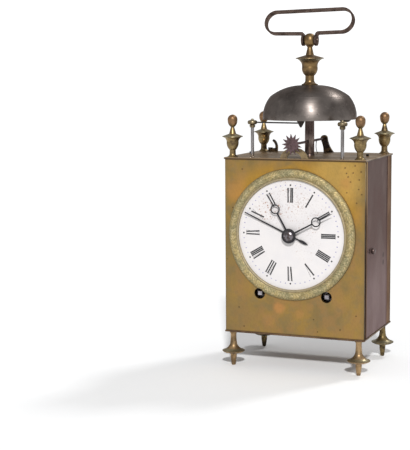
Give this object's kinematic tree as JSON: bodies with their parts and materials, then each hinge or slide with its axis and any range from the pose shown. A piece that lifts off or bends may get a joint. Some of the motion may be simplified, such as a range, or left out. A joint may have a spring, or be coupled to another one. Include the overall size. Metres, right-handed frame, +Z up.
{
  "type": "carriage alarm clock in capucine form",
  "caption": "Brass carrying clock with a white enamel dial, turned feet and finials, hinged side and rear doors, a bell on top with hammers beside it, and a hinged iron handle.",
  "frame": {"origin": "on the table, under the middle of the case", "axes": "+X to the right as seen from the dial side, +Y to the back (the dial faces -Y), +Z up"},
  "size_m": [0.1376, 0.1073, 0.3209],
  "materials": {
    "case_brass": "aged, mottled",
    "post_brass": "aged, worn bright on the edges",
    "door_brass": "aged, dull",
    "turned_brass": "polished, turned",
    "gilt_brass": "stamped leaf ornament",
    "enamel": "vitreous enamel, gloss",
    "blued_steel": "blued, dark",
    "steel": "polished",
    "iron": "wrought, browned",
    "bell_metal": "polished, dark patina",
    "movement_brass": "satin",
    "silk": "twisted thread"
  },
  "bodies": {
    "case": {"base_plate": "case_brass", "top_plate": "case_brass", "corner_posts": "post_brass", "front_plate": "case_brass", "bezel": "gilt_brass", "dial": "enamel", "foot_front_left": "turned_brass", "foot_front_right": "turned_brass", "foot_rear_left": "turned_brass", "foot_rear_right": "turned_brass", "finial_front_left": "turned_brass", "finial_front_right": "turned_brass", "finial_rear_left": "turned_brass", "finial_rear_right": "turned_brass", "bell_post": "turned_brass", "bell": "bell_metal", "bell_urn": "turned_brass", "handle_pin": "iron", "front_cock": "turned_brass", "rear_cock": "iron", "silk_thread": "silk", "movement_front_plate": "movement_brass", "movement_back_plate": "movement_brass", "movement_pillars": "movement_brass", "click_springs": "steel"},
    "handle": {"handle": "iron"},
    "regulator": {"star_wheel": "iron", "regulator_arbor": "iron"},
    "roof_latch": {"roof_latch": "iron"},
    "strike_hammer": {"strike_hammer": "steel", "strike_hammer_bead": "turned_brass"},
    "alarm_hammer": {"alarm_hammer": "steel", "alarm_hammer_bead": "turned_brass"},
    "left_door": {"left_door": "door_brass"},
    "right_door": {"right_door": "door_brass"},
    "rear_door": {"rear_door": "door_brass"},
    "left_catch": {"left_door_catch": "turned_brass"},
    "right_catch": {"right_door_catch": "turned_brass"},
    "going_barrel": {"going_barrel": "movement_brass"},
    "going_winder": {"going_winding_arbor": "steel"},
    "intermediate_wheel": {"intermediate_wheel": "movement_brass"},
    "minute_hand": {"centre_wheel": "movement_brass", "cannon_pinion": "movement_brass", "minute_hand": "blued_steel", "hand_boss": "turned_brass"},
    "third_wheel": {"third_wheel": "movement_brass"},
    "escape_wheel": {"escape_wheel": "movement_brass"},
    "pallets": {"pallets": "steel"},
    "pendulum": {"pendulum_rod": "steel", "pendulum_bob": "movement_brass"},
    "minute_wheel": {"minute_wheel": "movement_brass"},
    "hour_hand": {"hour_wheel": "movement_brass", "hour_hand": "blued_steel"},
    "alarm_hand": {"alarm_hand": "blued_steel"},
    "strike_barrel": {"strike_barrel": "movement_brass", "count_wheel": "movement_brass"},
    "strike_winder": {"strike_winding_arbor": "steel"},
    "pin_wheel": {"pin_wheel": "movement_brass"},
    "locking_wheel": {"locking_wheel": "movement_brass"},
    "fly": {"fly": "movement_brass"}
  },
  "joints": [
    {"name": "handle_pivot", "type": "hinge", "parent": "case", "child": "handle", "pos_m": [0, 0, 0.2922], "axis": [1, 0, 0], "range_deg": [-80, 120]},
    {"name": "regulator_turn", "type": "hinge", "parent": "case", "child": "regulator", "pos_m": [0, 0, 0.2018], "axis": [0, 1, 0], "continuous": true},
    {"name": "roof_latch_turn", "type": "hinge", "parent": "case", "child": "roof_latch", "pos_m": [-0.0516, 0.04, 0.19], "axis": [0, 0, 1], "range_deg": [0, 90]},
    {"name": "strike_hammer_swing", "type": "hinge", "parent": "case", "child": "strike_hammer", "pos_m": [-0.0485, -0.0175, 0.188], "axis": [0, 0, 1], "range_deg": [-3.4, 12], "stiffness_Nm_per_rad": 0.02},
    {"name": "alarm_hammer_swing", "type": "hinge", "parent": "case", "child": "alarm_hammer", "pos_m": [0.041, -0.035, 0.188], "axis": [0, 0, 1], "range_deg": [-2.4, 10], "stiffness_Nm_per_rad": 0.02},
    {"name": "left_door_hinge", "type": "hinge", "parent": "case", "child": "left_door", "pos_m": [-0.0637, 0.0299, 0.11], "axis": [0, 0, -1], "range_deg": [0, 110]},
    {"name": "right_door_hinge", "type": "hinge", "parent": "case", "child": "right_door", "pos_m": [0.0637, 0.0299, 0.11], "axis": [0, 0, 1], "range_deg": [0, 110]},
    {"name": "rear_door_hinge", "type": "hinge", "parent": "case", "child": "rear_door", "pos_m": [0.053, 0.0441, 0.11], "axis": [0, 0, -1], "range_deg": [0, 110]},
    {"name": "left_catch_turn", "type": "hinge", "parent": "left_door", "child": "left_catch", "pos_m": [-0.0637, -0.021, 0.1076], "axis": [1, 0, 0], "range_deg": [0, 90]},
    {"name": "right_catch_turn", "type": "hinge", "parent": "right_door", "child": "right_catch", "pos_m": [0.0637, -0.021, 0.1076], "axis": [1, 0, 0], "range_deg": [0, 90]},
    {"name": "minute_hand_turn", "type": "hinge", "parent": "case", "child": "minute_hand", "pos_m": [-0.0021, -0.04, 0.122], "axis": [0, 1, 0], "continuous": true},
    {"name": "going_barrel_turn", "type": "hinge", "parent": "case", "child": "going_barrel", "pos_m": [0.0301, -0.015, 0.0682], "axis": [0, 1, 0], "continuous": true},
    {"name": "intermediate_wheel_turn", "type": "hinge", "parent": "case", "child": "intermediate_wheel", "pos_m": [0.01633, 0, 0.09718], "axis": [0, 1, 0], "continuous": true},
    {"name": "third_wheel_turn", "type": "hinge", "parent": "case", "child": "third_wheel", "pos_m": [0.01543, 0, 0.13473], "axis": [0, 1, 0], "continuous": true},
    {"name": "escape_wheel_turn", "type": "hinge", "parent": "case", "child": "escape_wheel", "pos_m": [0, 0, 0.14666], "axis": [0, 1, 0], "continuous": true},
    {"name": "minute_wheel_turn", "type": "hinge", "parent": "case", "child": "minute_wheel", "pos_m": [-0.01271, -0.038, 0.11139], "axis": [0, 1, 0], "continuous": true},
    {"name": "hour_hand_turn", "type": "hinge", "parent": "case", "child": "hour_hand", "pos_m": [-0.0021, -0.045, 0.122], "axis": [0, 1, 0], "continuous": true},
    {"name": "alarm_hand_turn", "type": "hinge", "parent": "case", "child": "alarm_hand", "pos_m": [-0.0021, -0.046, 0.122], "axis": [0, 1, 0], "continuous": true},
    {"name": "going_winding_turn", "type": "hinge", "parent": "case", "child": "going_winder", "pos_m": [0.0301, -0.038, 0.0682], "axis": [0, 1, 0], "continuous": true},
    {"name": "strike_winding_turn", "type": "hinge", "parent": "case", "child": "strike_winder", "pos_m": [-0.0319, -0.038, 0.0682], "axis": [0, 1, 0], "continuous": true},
    {"name": "pendulum_swing", "type": "hinge", "parent": "case", "child": "pendulum", "pos_m": [0, 0.026, 0.1877], "axis": [0, 1, 0], "range_deg": [-3, 3]},
    {"name": "pallets_rock", "type": "hinge", "parent": "case", "child": "pallets", "pos_m": [0, 0, 0.16286], "axis": [0, 1, 0], "range_deg": [-4.7, 4.7]},
    {"name": "pin_wheel_turn", "type": "hinge", "parent": "case", "child": "pin_wheel", "pos_m": [-0.04287, 0, 0.09835], "axis": [0, 1, 0], "continuous": true},
    {"name": "strike_barrel_turn", "type": "hinge", "parent": "case", "child": "strike_barrel", "pos_m": [-0.0319, -0.015, 0.0682], "axis": [0, 1, 0], "continuous": true},
    {"name": "locking_wheel_turn", "type": "hinge", "parent": "case", "child": "locking_wheel", "pos_m": [-0.03807, 0, 0.11759], "axis": [0, 1, 0], "continuous": true},
    {"name": "fly_turn", "type": "hinge", "parent": "case", "child": "fly", "pos_m": [-0.03068, 0, 0.1315], "axis": [0, 1, 0], "continuous": true}
  ],
  "couplings": [
    {"joint": "intermediate_wheel_turn", "follows": "minute_hand_turn", "ratio": -0.16667},
    {"joint": "going_barrel_turn", "follows": "minute_hand_turn", "ratio": 0.027778},
    {"joint": "third_wheel_turn", "follows": "minute_hand_turn", "ratio": -12},
    {"joint": "escape_wheel_turn", "follows": "minute_hand_turn", "ratio": 144},
    {"joint": "minute_wheel_turn", "follows": "minute_hand_turn", "ratio": -0.33333},
    {"joint": "hour_hand_turn", "follows": "minute_hand_turn", "ratio": 0.083333},
    {"joint": "pallets_rock", "follows": "pendulum_swing", "ratio": 1.5645},
    {"joint": "strike_barrel_turn", "follows": "pin_wheel_turn", "ratio": -0.16667},
    {"joint": "locking_wheel_turn", "follows": "pin_wheel_turn", "ratio": -6},
    {"joint": "fly_turn", "follows": "pin_wheel_turn", "ratio": 48}
  ]
}
